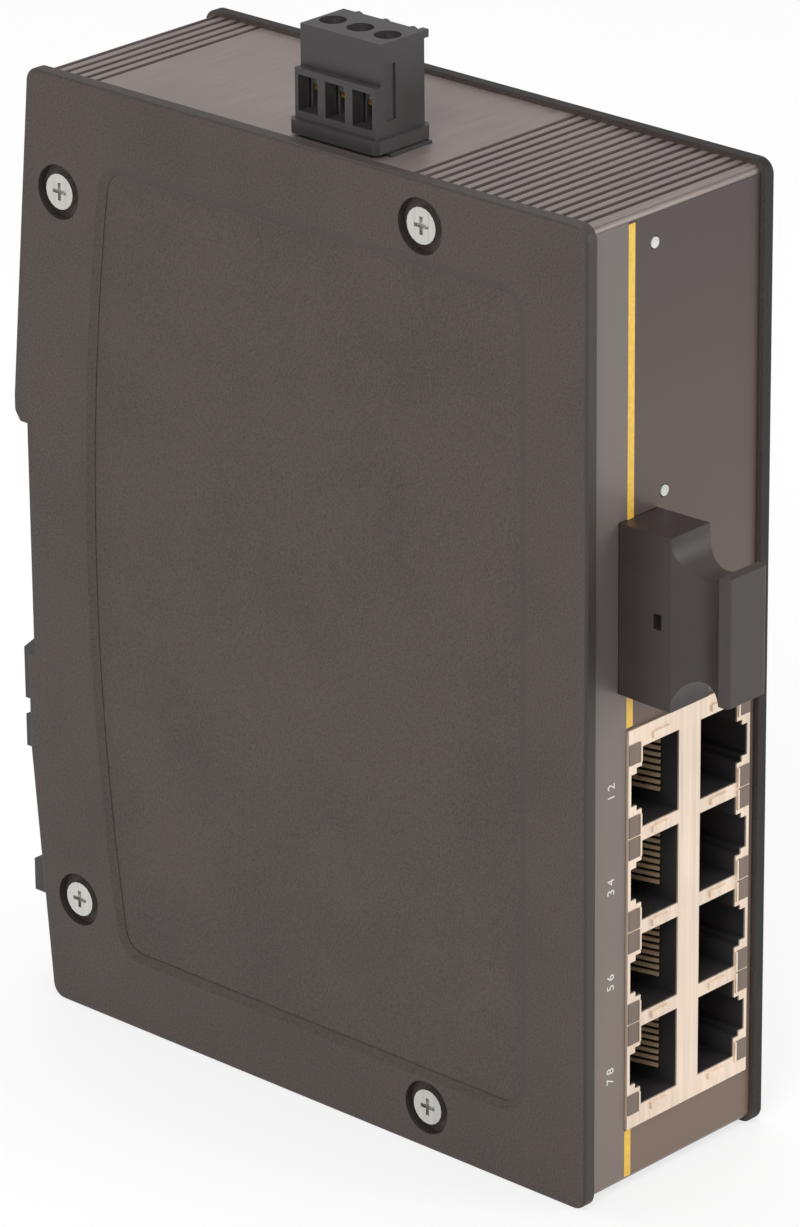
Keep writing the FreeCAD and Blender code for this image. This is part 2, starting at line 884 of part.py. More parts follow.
def make_sockets():
    """The block of eight sockets: plastic insulator, folded metal shield and the spring contacts."""
    wall = size.shield_wall
    shell = box("shield_outside", (block_left, block_front, block_low), (block_right, block_back, block_high))
    room = box("shield_inside", (block_left + wall, block_front + wall, block_low + wall),
               (block_right - wall, block_back + wall, block_high - wall))
    mouths = []
    cavities = []
    insulator_front = block_front + wall + size.fit_play / 2
    for row in range(4):
        for column in (-1, 1):
            tag = f"{row}_{'left' if column < 0 else 'right'}"
            mouths.append(port_opening(f"mouth_{tag}", row, column, size.shield_trim,
                                       block_front - wall, block_front + wall * 2))
            cavities.append(port_opening(f"cavity_{tag}", row, column, Length.of(0),
                                         insulator_front - wall, insulator_front + size.port_deep))
    node(cut("rj45_shield", shell, [room] + mouths), "rj45_shield")
    gap = wall + size.fit_play / 2
    core = box("insulator_block", (block_left + gap, insulator_front, block_low + gap),
               (block_right - gap, block_back, block_high - gap))
    node(cut("rj45_insulator", core, cavities), "rj45_insulator")

    wires = []
    lean = size.contact_lean
    for row in range(4):
        for column in (-1, 1):
            wall_x = block_middle + bar_half * column
            for pin in range(8):
                wire = doc.addObject("Part::Box", f"contact_{row}_{column + 1}_{pin}")
                bind(wire, "Length", size.contact_thick)
                bind(wire, "Width", size.contact_length)
                bind(wire, "Height", size.contact_wide)
                wire.Placement.Rotation = FreeCAD.Rotation(AXIS_Z, lean.value * -column)
                start_x = wall_x + size.contact_gap * column
                if column < 0:
                    start_x = start_x - size.contact_thick
                offset = size.contact_pitch * (pin - 3.5) - size.contact_wide / 2
                place(wire, (start_x, insulator_front + size.contact_start, PORT_LEVELS[row] + offset))
                wires.append(wire)
    node(group("rj45_contacts", wires), "rj45_contacts")


make_sockets()


def make_fibre_port():
    """The duplex fibre transceiver, its two ferrules and the dust cap that fills both sockets."""
    start = back(size.cover_lip)
    body_front = frame_front + size.frame_wall + size.fit_play
    block = box("transceiver_block", (fibre_left, body_front, fibre_z - fibre_half),
                (fibre_right, start + size.fibre_body_deep, fibre_z + fibre_half))
    snout = box("transceiver_snout", (fibre_x - snout_half, start, fibre_z - snout_rise),
                (fibre_x + snout_half, body_front, fibre_z + snout_rise))
    sockets = []
    ferrules = []
    stubs = []
    middles = [fibre_z + size.fibre_pitch / 2 * side for side in (-1, 1)]
    for number, level in enumerate(middles, start=1):
        wide = size.fibre_socket_wide / 2
        tall = size.fibre_socket_tall / 2
        sockets.append(box(f"fibre_socket_{number}", (fibre_x - tall, start - size.fit_play, level - wide),
                           (fibre_x + tall, start + size.fibre_socket_deep, level + wide)))
        root = start + size.fibre_socket_deep - size.ferrule_length
        ferrules.append(prism(f"ferrule_{number}", (fibre_x, root, level), "Y",
                              size.ferrule_radius, size.ferrule_length, 16))
        play = size.fit_play
        stub = box(f"cap_stub_{number}", (fibre_x - tall + play, start - size.fit_play, level - wide + play),
                   (fibre_x + tall - play, start + size.cap_plug_reach, level + wide - play))
        bore_length = size.cap_plug_reach - (root - start) + size.ferrule_radius
        bore = prism(f"cap_bore_{number}", (fibre_x, root - size.terminal_play, level), "Y",
                     size.ferrule_radius + size.terminal_play, bore_length, 16)
        stubs.append(cut(f"cap_stub_bored_{number}", stub, [bore]))
    node(cut("fibre_transceiver", join("transceiver_whole", [block, snout]), sockets), "fibre_transceiver")
    node(group("fibre_ferrules", ferrules), "fibre_ferrules")

    cap = body("cap_grip")
    side_face = sketch(cap, "cap_side_outline", "YZ_Plane", fibre_x - size.cap_thick / 2)
    root = back(size.cover_lip - size.fit_play)
    base_end = back(-size.cap_base_reach)
    lobe_start = back(size.cap_lobe - size.cap_reach)
    cap_end = back(-size.cap_reach)
    foot = size.cap_base_half - size.cap_base_flare
    scoop_y = base_end - size.cap_scoop_place
    outline(side_face, [
        (root, fibre_z - foot),
        (base_end, fibre_z - size.cap_base_half),
        (lobe_start, fibre_z - size.cap_lobe_half),
        (cap_end, fibre_z - size.cap_lobe_half),
        (cap_end, fibre_z + size.cap_lobe_half),
        (lobe_start, fibre_z + size.cap_lobe_half),
        (base_end, fibre_z + size.cap_base_half),
        (root, fibre_z + foot),
    ], bends={
        1: (scoop_y, fibre_z - size.cap_waist_half),
        5: (scoop_y, fibre_z + size.cap_waist_half),
    })
    pad(cap, "cap_block", side_face, size.cap_thick)
    pinch = sketch(cap, "cap_pinch_outline", "XY_Plane", fibre_z + size.cap_base_half)
    for side in (-1, 1):
        face_x = fibre_x + size.cap_thick / 2 * side
        waist_x = face_x - size.cap_pinch * side
        outline(pinch, [(face_x, base_end), (face_x, lobe_start)],
                bends={1: (waist_x, (base_end + lobe_start) / 2)})
    pocket(cap, "cap_pinches", pinch, size.cap_base_half * 2)

    def lobe_rim(edge, middle):
        return near(middle.y, cap_end) and not along(edge, AXIS_X)

    soften(cap, "Fillet", "cap_lobe_rounding", lobe_rim, size.cap_rounding)
    grip = join("cap_whole", [cap] + stubs)
    hole_y = back(-size.cap_hole_place)
    hole = box("cap_side_hole",
               (fibre_x - size.cap_thick, hole_y - size.cap_hole / 2, fibre_z - size.cap_hole * 0.8),
               (fibre_x - size.cap_thick / 2 + size.cap_hole, hole_y + size.cap_hole / 2,
                fibre_z + size.cap_hole * 0.8))
    node(cut("fibre_dust_cap", grip, [hole]), "fibre_dust_cap")


make_fibre_port()


# ---------- Power header and plug ----------

def make_header():
    """The board header that stands in the top opening, and its three bent pins."""
    base = header_top - size.header_height
    outside = box("header_block", (header_left, plug_y - header_half, base),
                  (header_right, plug_y + header_half, header_top))
    wall = size.header_wall
    well = box("header_well", (header_left + wall, plug_y - header_half + wall, base + size.header_floor),
               (header_right - wall, plug_y + header_half - wall, header_top + wall))
    half = size.pin_width / 2
    slots = []
    pins = []
    for number, y in enumerate(POLES, start=1):
        slots.append(box(f"header_slot_{number}", (plug_x - half, y - half, base),
                         (plug_x + half, y + half, base + size.header_floor)))
        upright = box(f"pin_upright_{number}", (plug_x - half, y - half, base - size.pin_width * 2),
                      (plug_x + half, y + half, base + size.header_floor + size.pin_rise))
        tail = box(f"pin_tail_{number}", (board_face, y - half, base - size.pin_width * 2),
                   (plug_x, y + half, base - size.pin_width))
        pins.append(join(f"header_pin_{number}", [upright, tail]))
    node(cut("power_header", outside, [well] + slots), "power_header")
    node(group("header_pins", pins), "header_pins")


def make_plug():
    """The screw-terminal plug: body, three clamp cages with their screws, and the fixed contact strips."""
    left = plug_x - size.plug_left
    right = plug_x + size.plug_right
    near_y = plug_y - pole_half
    far_y = plug_y + pole_half
    step = plug_top - size.plug_step
    out = size.plug_flange_out
    upper = box("plug_upper", (left, near_y, plug_base), (right, far_y, plug_top))
    lower = box("plug_lower", (left - size.plug_ledge, near_y, plug_base), (right, far_y, step))
    rim = body("plug_rim")
    rim_face = sketch(rim, "rim_outline", "XY_Plane", plug_base)
    rectangle(rim_face, (left - size.plug_ledge - out, near_y - out), (right + out, far_y + out))
    pad(rim, "rim_plate", rim_face, size.plug_flange)

    def upright(edge, middle):
        return along(edge, AXIS_Z)

    soften(rim, "Chamfer", "rim_corners", upright, size.plug_rim_corner)
    nose = box("plug_nose", (nose_left, near_y, plug_base - size.nose_length),
               (plug_x + size.nose_half, far_y, plug_base))
    solid = join("plug_solid", [upper, lower, rim, nose])

    tools = []
    play = size.terminal_play
    cage_low = plug_top - size.cage_drop - size.cage_height
    room_top = plug_top - size.terminal_head_top - size.terminal_head - play - size.terminal_neck
    cage_x = plug_x
    bar_top = plug_top - size.cage_drop - size.cage_plate - size.fit_play
    bar_low = bar_top - size.bar_thick
    foot_top = cage_low - play
    foot_low = foot_top - size.bar_thick
    leg_x = cage_x + size.cage_half + play
    pin_face = plug_x + size.pin_width / 2
    contacts = []
    for number, y in enumerate(POLES, start=1):
        tools.append(prism(f"driver_bore_{number}", (cage_x, y, room_top + size.terminal_neck), "Z",
                           size.bore_radius + size.fit_play, plug_top - room_top, 24))
        tools.append(prism(f"neck_bore_{number}", (cage_x, y, room_top - play), "Z",
                           size.terminal_shank_radius + play, size.terminal_neck + play * 2))
        half = size.cage_half_wide + play
        tools.append(box(f"cage_room_{number}", (cage_x - size.cage_half - play, y - half, cage_low - play),
                         (cage_x + size.cage_half + play, y + half, room_top)))
        entry = size.entry_wide / 2
        tools.append(box(f"wire_entry_{number}",
                         (left - size.plug_ledge * 2, y - entry, plug_top - size.entry_bottom),
                         (cage_x, y + entry, plug_top - size.entry_top)))
        strip = size.bar_wide / 2
        reach = box(f"contact_bar_{number}", (cage_x - size.cage_half, y - strip, bar_low),
                    (leg_x + size.bar_thick, y + strip, bar_top))
        leg = box(f"contact_leg_{number}", (leg_x, y - strip, foot_low),
                  (leg_x + size.bar_thick, y + strip, bar_top))
        foot = box(f"contact_foot_{number}", (pin_face, y - strip, foot_low),
                   (leg_x + size.bar_thick, y + strip, foot_top))
        prong = box(f"contact_prong_{number}", (pin_face, y - strip, plug_base - size.nose_length + play),
                    (pin_face + size.bar_thick, y + strip, foot_top))
        contacts.append(join(f"plug_contact_{number}", [reach, leg, foot, prong]))
        gap = size.fit_play
        tools.append(box(f"leg_slot_{number}", (leg_x - gap, y - strip - gap, foot_low - gap),
                         (leg_x + size.bar_thick + gap, y + strip + gap, bar_top + gap)))
        tools.append(box(f"foot_slot_{number}", (pin_face - gap, y - strip - gap, foot_low - gap),
                         (leg_x + size.bar_thick + gap, y + strip + gap, foot_top + gap)))
        tools.append(box(f"pin_slot_{number}", (plug_x - size.pin_width / 2 - gap * 2, y - strip - gap,
                                                plug_base - size.nose_length - gap),
                         (pin_face + size.bar_thick + gap, y + strip + gap, foot_top)))
    for side, face in ((-1, near_y), (1, far_y)):
        inside = face - size.front_slot_sink * side
        low_y, high_y = (face, inside) if side < 0 else (inside, face)
        tools.append(box(f"end_slot_{side + 1}",
                         (left + size.front_slot_across, low_y, plug_top - size.front_slot_bottom),
                         (left + size.front_slot_across + size.front_slot_wide, high_y,
                          plug_top - size.front_slot_top)))
    body_solid = cut("power_plug_cut", solid, tools)
    lugs = []
    for number, y in enumerate(POLES, start=1):
        lugs.append(prism(f"plug_lug_{number}", (right, y, plug_top - size.lug_radius), "X",
                          size.lug_radius, size.lug_out))
    ear = box("plug_ear", (right, near_y, plug_top - size.lug_radius),
              (right + size.lug_out * 1.5, near_y + size.lug_radius, plug_top))
    node(join("power_plug", [body_solid, ear] + lugs), "power_plug")
    node(group("plug_contacts", contacts), "plug_contacts")

    for number, y in enumerate(POLES, start=1):
        half_wide = size.cage_half_wide
        side = size.cage_side
        shell = box(f"cage_shell_{number}", (cage_x - size.cage_half, y - half_wide, cage_low),
                    (cage_x + size.cage_half, y + half_wide, cage_low + size.cage_height))
        cage_top = cage_low + size.cage_height
        window = box(f"cage_window_{number}",
                     (cage_x - size.cage_half * 2, y - half_wide + side, cage_low + size.cage_floor),
                     (cage_x + size.cage_half * 2, y + half_wide - side, cage_top - size.cage_plate))
        thread = prism(f"cage_thread_{number}", (cage_x, y, cage_low + size.cage_floor), "Z",
                       size.terminal_shank_radius + size.fit_play, size.cage_height)
        node(cut(f"clamp_cage_{number}", shell, [window, thread]), f"clamp_cage_{number}")
        head_top = plug_top - size.terminal_head_top
        head = prism(f"terminal_head_{number}", (cage_x, y, head_top - size.terminal_head), "Z",
                     size.terminal_head_radius, size.terminal_head, 24)
        tip = bar_top + size.fit_play
        shank = rod(f"terminal_shank_{number}", (cage_x, y, tip), "Z", size.terminal_shank_radius,
                    head_top - size.terminal_head - tip)
        thin = size.drive_width / 2
        slot = box(f"terminal_slot_{number}", (cage_x - size.bore_radius, y - thin, head_top - size.drive_sink),
                   (cage_x + size.bore_radius, y + thin, head_top))
        turned = join(f"terminal_turned_{number}", [head, shank])
        node(cut(f"terminal_screw_{number}", turned, [slot]), f"terminal_screw_{number}")


make_header()
make_plug()


# ---------- Electronics ----------

def make_electronics():
    """The parts that stand on the board's face, away from the sockets."""
    face = board_face

    def block(name, kind, rise=0, from_top=False):
        wide = getattr(size, f"{kind}_wide") / 2
        tall = getattr(size, f"{kind}_tall") / 2
        y = back(getattr(size, f"{kind}_depth"))
        level = getattr(size, f"{kind}_level") + rise
        z = half_height - level if from_top else up(level)
        return box(name, (face, y - wide, z - tall),
                   (face + getattr(size, f"{kind}_thick"), y + wide, z + tall))

    for label in ("switch_chip", "memory_chip", "clock_crystal", "power_inductor", "regulator_chip"):
        node(block(label, label), label)
    for label in ("input_fuse", "surge_diode"):
        node(block(label, label, from_top=True), label)
    node(group("isolation_transformers", [
        block(f"transformer_{step + 1}", "transformer", size.transformer_step * step) for step in (0, 1)
    ]), "isolation_transformers")
    node(group("smoothing_capacitors", [
        prism(f"capacitor_{step + 1}",
              (face, back(size.capacitor_depth), up(size.capacitor_level + size.capacitor_step * step)), "X",
              size.capacitor_radius, size.capacitor_length, 20)
        for step in (0, 1)
    ]), "smoothing_capacitors")

    leds = []
    pipes = []
    radius = size.pipe_radius
    elbow = back(size.pipe_depth)
    led_top = face + radius
    for number, (x, z) in enumerate(led_places(), start=1):
        leds.append(box(f"led_{number}", (face, elbow - radius, z - radius),
                        (led_top, elbow + radius, z + radius)))
        lens = back(size.cover_lip - size.fit_play)
        run = prism(f"pipe_run_{number}", (x, lens, z), "Y", radius, elbow - lens, 16)
        elbow_block = box(f"pipe_elbow_{number}", (x - radius, elbow - radius, z - radius),
                          (x + radius, elbow + radius, z + radius))
        leg = prism(f"pipe_leg_{number}", (led_top + size.fit_play, elbow, z), "X", radius,
                    x - led_top - size.fit_play, 16)
        pipes.append(join(f"light_pipe_{number}", [run, elbow_block, leg]))
    node(group("indicator_leds", leds), "indicator_leds")
    node(group("light_pipes", pipes), "light_pipes")


make_electronics()


# ---------- Rail clip: bracket, latch and spring ----------

def make_clip():
    """The bracket with its fixed upper hook, the sliding lower latch and the spring between them."""
    half = size.clip_half_width
    flange_room = size.rail_flange + size.flange_play
    hook_back = flange_room + size.hook_wall
    bracket = body("bracket_body")
    side_face = sketch(bracket, "bracket_outline", "YZ_Plane", -half)
    outline(side_face, [
        (frame_back, -size.clip_bottom),
        (0, -size.clip_bottom),
        (0, recess_half),
        (flange_room, recess_half),
        (flange_room, rail_half - size.hook_overlap),
        (hook_back, rail_half - size.hook_overlap + size.hook_wall / 2),
        (hook_back, size.hook_level),
        (0, size.clip_top),
        (frame_back, size.clip_top),
    ])
    pad(bracket, "bracket_plate", side_face, half * 2)
    keeper_top = size.latch_nose_bottom + size.latch_travel + size.latch_play
    keeper_low = keeper_top + size.keeper_height
    keeper_back = size.latch_play + size.stem_thickness + size.latch_play + size.keeper_wall
    keeper = box("keeper_block", (-half, 0, -keeper_low), (half, keeper_back, -keeper_top))
    stem_room = box("keeper_slot", (-size.stem_half_width - size.latch_play, 0, -keeper_low),
                    (size.stem_half_width + size.latch_play, keeper_back - size.keeper_wall, -keeper_top))
    bridge = cut("keeper_bridge", keeper, [stem_room])
    peg_low = size.window_bottom - size.peg_height / 4
    peg_half = size.window_half_width - size.latch_play
    peg = box("spring_peg", (-peg_half, 0, -peg_low),
              (peg_half, size.latch_play + size.stem_thickness, size.peg_height - peg_low))
    whole = join("bracket_whole", [bracket, bridge, peg])
    tools = []
    screws = []
    seat = -size.screw_head - size.fit_play
    for number, level in enumerate((rail_half / 2, -rail_half / 2), start=1):
        tools.append(prism(f"bracket_hole_{number}", (0, frame_back, level), "Y",
                           size.screw_radius + size.screw_play, -frame_back))
        tools.append(prism(f"bracket_sink_{number}", (0, seat, level), "Y",
                           size.screw_head_radius + size.screw_play, -seat, 24))
        shank = prism(f"clip_shank_{number}", (0, frame_back - size.frame_wall, level), "Y",
                      size.screw_radius, seat - frame_back + size.frame_wall)
        head = prism(f"clip_head_{number}", (0, seat, level), "Y",
                     size.screw_head_radius, size.screw_head, 24)
        slot = box(f"clip_drive_{number}",
                   (-size.drive_span / 2, seat + size.screw_head - size.drive_sink, level - size.drive_width / 2),
                   (size.drive_span / 2, 0, level + size.drive_width / 2))
        screws.append(cut(f"clip_screw_{number}", join(f"clip_screw_blank_{number}", [shank, head]), [slot]))
    node(cut("rail_bracket", whole, tools), "rail_bracket")
    node(group("bracket_screws", screws), "bracket_screws")

    stem_near = size.latch_play
    stem_far = stem_near + size.stem_thickness
    latch = body("latch_nose")
    nose = sketch(latch, "nose_outline", "YZ_Plane", -half)
    outline(nose, [
        (stem_near, -size.latch_nose_bottom),
        (size.latch_back, -size.latch_nose_bottom),
        (size.latch_back, -size.latch_nose_top),
        (flange_room + size.hook_wall / 2, -rail_half + size.latch_overlap),
        (flange_room, -rail_half + size.latch_overlap),
        (flange_room, -rail_half - size.rail_play),
        (stem_near, -rail_half - size.rail_play),
    ])
    pad(latch, "nose_bar", nose, half * 2)
    stem = box("latch_stem", (-size.stem_half_width, stem_near, -size.tab_top),
               (size.stem_half_width, stem_far, -size.latch_nose_bottom))
    tab = box("latch_tab", (-half, stem_near, -size.tab_bottom), (half, size.tab_back, -size.tab_top))
    window = box("stem_window", (-size.window_half_width, 0, -size.window_bottom - size.peg_height),
                 (size.window_half_width, stem_far * 2, -size.window_top))
    pry = box("tab_pry_slot", (-size.stem_half_width / 2, stem_far - size.tab_slot / 2, -size.tab_bottom * 2),
              (size.stem_half_width / 2, stem_far + size.tab_slot / 2, -size.tab_top))
    node(cut("rail_latch", join("latch_whole", [latch, stem, tab]), [window, pry]), "rail_latch")

    peg_top = peg_low - size.peg_height
    play = size.fit_play
    rise = peg_top - size.window_top - (play + size.spring_wire) * 2
    middle_y = stem_near + size.stem_thickness / 2
    path = doc.addObject("Part::Helix", "spring_path")
    bind(path, "Height", rise)
    bind(path, "Pitch", rise / size.spring_turns)
    bind(path, "Radius", size.spring_radius)
    wire = doc.addObject("Part::RegularPolygon", "spring_wire_section")
    wire.Polygon = 4
    wire.Placement = FreeCAD.Placement(FreeCAD.Vector(), FreeCAD.Rotation(AXIS_X, 90))
    bind(wire, "Circumradius", size.spring_wire)
    bind(wire, "Placement.Base.x", size.spring_radius)
    doc.recompute()
    coil = doc.addObject("Part::Sweep", "spring_coil")
    coil.Sections = [wire]
    coil.Spine = (path, [f"Edge{number + 1}" for number in range(len(path.Shape.Edges))])
    coil.Solid = True
    coil.Frenet = True
    place(coil, (0, middle_y, -peg_top + play + size.spring_wire))
    node(coil, "latch_spring")


make_clip()

# ---------- Check and write ----------

doc.recompute()
for item in doc.Objects:
    if "Invalid" in item.State or "Error" in item.State:
        raise RuntimeError(f"{item.Name} failed: {item.State}")
os.makedirs("parts", exist_ok=True)
for item in NODES:
    shape = item.Shape
    if shape.isNull() or not shape.isValid() or not shape.Solids:
        raise RuntimeError(f"{item.Label} has no valid solid")
    shape.exportStep(f"parts/{item.Label}.step")
    print(f"{item.Label:26s} solids {len(shape.Solids):3d}  volume {shape.Volume:10.1f}")
print(f"{len(NODES)} nodes")
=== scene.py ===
# %% [markdown]
# # A rail-mounted network switch, dressed in Blender
# The machined, moulded and pressed pieces come ready-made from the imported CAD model. This lesson gives
# them their finishes, adds the printed marks and the small repeated details, and sets up a plain studio.

# %% Load the model
import json
import math

import bpy
import bmesh
from mathutils import Matrix, Vector


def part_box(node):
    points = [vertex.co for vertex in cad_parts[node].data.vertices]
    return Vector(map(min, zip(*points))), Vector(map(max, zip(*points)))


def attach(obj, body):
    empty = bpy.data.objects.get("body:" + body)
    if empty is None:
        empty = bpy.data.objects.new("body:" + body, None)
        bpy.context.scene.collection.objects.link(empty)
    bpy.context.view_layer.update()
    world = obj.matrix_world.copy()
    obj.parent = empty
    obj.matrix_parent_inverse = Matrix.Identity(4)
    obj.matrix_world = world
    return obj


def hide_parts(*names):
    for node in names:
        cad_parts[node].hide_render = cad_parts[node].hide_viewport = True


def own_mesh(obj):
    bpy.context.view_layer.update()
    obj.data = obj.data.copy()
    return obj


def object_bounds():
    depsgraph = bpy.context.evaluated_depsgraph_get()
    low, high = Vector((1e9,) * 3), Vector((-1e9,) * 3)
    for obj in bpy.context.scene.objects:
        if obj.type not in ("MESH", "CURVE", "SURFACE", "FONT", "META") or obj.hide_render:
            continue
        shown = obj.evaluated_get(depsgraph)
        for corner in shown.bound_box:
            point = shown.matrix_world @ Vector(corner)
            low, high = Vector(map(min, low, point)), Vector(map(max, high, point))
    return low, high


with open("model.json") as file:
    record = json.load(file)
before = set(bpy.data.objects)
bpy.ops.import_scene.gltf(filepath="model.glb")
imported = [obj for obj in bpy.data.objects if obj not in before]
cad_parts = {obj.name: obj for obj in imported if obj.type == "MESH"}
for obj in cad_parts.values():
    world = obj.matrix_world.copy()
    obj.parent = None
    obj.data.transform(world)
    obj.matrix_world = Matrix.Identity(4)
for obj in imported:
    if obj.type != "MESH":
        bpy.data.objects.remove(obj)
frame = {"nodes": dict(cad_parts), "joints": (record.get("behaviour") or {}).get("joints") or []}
cad_box = [list(map(float, corner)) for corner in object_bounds()]
NODES = frame["nodes"]
MM = 0.001

# %% [markdown]
# ## A short way to write shaders
# A finish is a small network of nodes. Adding each node by hand is long, so one method adds any node,
# and a small class lets ordinary arithmetic on its outputs add the Math nodes.

# %% Shader arithmetic
class Wire:
    """A value on its way through a finish; arithmetic on it adds Math nodes."""

    def __init__(self, finish, socket):
        self.finish = finish
        self.socket = socket

    def maths(self, operation, first, second=0.0):
        return self.finish.node("ShaderNodeMath", {"operation": operation}, {0: first, 1: second})

    def __add__(self, other):
        return self.maths("ADD", self, other)

    def __radd__(self, other):
        return self.maths("ADD", other, self)

    def __sub__(self, other):
        return self.maths("SUBTRACT", self, other)

    def __rsub__(self, other):
        return self.maths("SUBTRACT", other, self)

    def __mul__(self, other):
        return self.maths("MULTIPLY", self, other)

    def __rmul__(self, other):
        return self.maths("MULTIPLY", other, self)

    def __gt__(self, other):
        return self.maths("GREATER_THAN", self, other)

    def __lt__(self, other):
        return self.maths("LESS_THAN", self, other)


def pick(sockets, key):
    """A socket by its number, identifier or name."""
    if isinstance(key, int):
        return sockets[key]
    for socket in sockets:
        if socket.identifier == key:
            return socket
    return sockets[key]


class Finish:
    """A material with one Principled shader, and the nodes that vary it over the surface."""

    def __init__(self, name, **plain):
        self.material = bpy.data.materials.new(name)
        self.material.use_nodes = True
        self.tree = self.material.node_tree
        self.shader = self.tree.nodes["Principled BSDF"]
        for key, value in plain.items():
            self.shader.inputs[key.replace("_", " ")].default_value = value

    def node(self, kind, settings=None, inputs=None, output=0):
        item = self.tree.nodes.new(kind)
        for key, value in (settings or {}).items():
            setattr(item, key, value)
        for key, value in (inputs or {}).items():
            socket = pick(item.inputs, key)
            if isinstance(value, Wire):
                self.tree.links.new(value.socket, socket)
            else:
                socket.default_value = value
        return Wire(self, pick(item.outputs, output))

    def place(self, centre=(0, 0, 0), stretch=(1, 1, 1)):
        """Object coordinates in millimetres, centred and stretched by a Mapping node."""
        where = self.node("ShaderNodeTexCoord", output="Object")
        return self.node("ShaderNodeMapping", inputs={
            "Vector": where,
            "Location": [-c / MM * s for c, s in zip(centre, stretch)],
            "Scale": [s / MM for s in stretch],
        })

    def noise(self, where, scale, detail=2.0, rough=0.5):
        return self.node("ShaderNodeTexNoise", inputs={
            "Vector": where, "Scale": scale, "Detail": detail, "Roughness": rough})

    def ramp(self, value, low, high, start=0.0, end=1.0):
        return self.node("ShaderNodeMapRange", inputs={
            "Value": value, 1: low, 2: high, 3: start, 4: end})

    def blend(self, mask, first, second):
        return self.node("ShaderNodeMix", {"data_type": "RGBA"}, {
            "Factor_Float": mask, "A_Color": first, "B_Color": second}, "Result_Color")

    def feed(self, **links):
        for key, wire in links.items():
            self.tree.links.new(wire.socket, self.shader.inputs[key.replace("_", " ")])

    def bump(self, height, depth, strength=1.0):
        """Raise the surface by height times depth, in metres."""
        self.feed(Normal=self.node("ShaderNodeBump", inputs={
            "Height": height, "Distance": depth, "Strength": strength}))


def linear(red, green, blue):
    """A screen colour, 0 to 255, as the linear colour that shaders use."""
    def one(value):
        value = value / 255
        return value / 12.92 if value <= 0.04045 else ((value + 0.055) / 1.055) ** 2.4
    return (one(red), one(green), one(blue), 1.0)


print("shader helpers ready")

# %% [markdown]
# ## Powder coat
# The side covers have a fine structured powder coat: a dry, even surface with grains about a third of a
# millimetre across. Two scales of noise give the grain its bump and its faint mottling. The rim carries
# painted shade: where a face turns away there, the object normal's X picks a darker colour. The right
# cover's rim has the darker painted shade of the two.

# %% Cover finish
GRAINS_PER_MM = 3.0
GRAIN_DEPTH = 0.05 * MM


def structured_coat(name, colour, rim_shade):
    finish = Finish(name, Metallic=0.1)
    finish.shader.inputs["Specular IOR Level"].default_value = 0.4
    where = finish.place()
    grains = finish.noise(where, GRAINS_PER_MM, 3.0, 0.6)
    clouds = finish.noise(where, 0.05, 2.0)
    shade = [min(1.0, c * 1.36) for c in colour[:3]] + [1.0]
    deep = [c * 0.70 for c in colour[:3]] + [1.0]
    tone = finish.ramp(grains * 0.85 + clouds * 0.15, 0.36, 0.64)
    # Painted shade: faces that turn away at the rim get the darker rim colour, picked by the normal's X.
    normal = finish.node("ShaderNodeTexCoord", output="Normal")
    sideways = finish.node("ShaderNodeSeparateXYZ", inputs={0: normal}, output="X")
    level = finish.ramp(sideways * sideways, 0.62, 0.96)
    finish.feed(Base_Color=finish.blend(level, rim_shade, finish.blend(tone, deep, shade)))
    finish.feed(Roughness=finish.ramp(grains, 0.3, 0.7, 0.50, 0.64))
    finish.bump(grains, GRAIN_DEPTH)
    return finish.material


def wear(label, material):
    """Give one CAD piece its finish."""
    mesh = NODES[label].data
    mesh.materials.clear()
    mesh.materials.append(material)


COAT = linear(71, 62, 58)
# The last colour is painted shade for the rim; the right cover's rim gets the darker painted shade.
wear("left_cover", structured_coat("left_cover_coat", COAT, linear(56, 50, 46)))
wear("right_cover", structured_coat("right_cover_coat", COAT, linear(24, 21, 20)))
print("covers coated")

# %% [markdown]
# ## Anodised extrusion
# The band round the housing is an extrusion. Its die leaves very fine lines along its length, which here
# run across the housing, and the anodised layer makes it satin rather than bright. The floors of its grooves
# get painted shade: faces that look up or down and lie below the outside are darker.

# %% Extrusion finish
FACING_UP = 0.5
GROOVE_FROM, GROOVE_TO = 0.1, 0.4


def drawn_metal(name, colour, along, rough=0.38, metallic=0.75, lines=0.25, depth=0.008):
    finish = Finish(name, Metallic=metallic)
    stretch = [0.02 if axis == along else 1.0 for axis in "xyz"]
    streaks = finish.noise(finish.place(stretch=stretch), 1 / lines, 3.0, 0.55)
    clouds = finish.noise(finish.place(), 0.06, 2.0)
    pale = [min(1.0, c * 1.13) for c in colour[:3]] + [1.0]
    dark = [c * 0.86 for c in colour[:3]] + [1.0]
    finish.feed(Base_Color=finish.blend(finish.ramp(streaks * 0.6 + clouds * 0.4, 0.35, 0.65), dark, pale))
    finish.feed(Roughness=finish.ramp(streaks, 0.3, 0.7, rough - 0.06, rough + 0.08))
    finish.bump(streaks, depth * MM)
    return finish.material


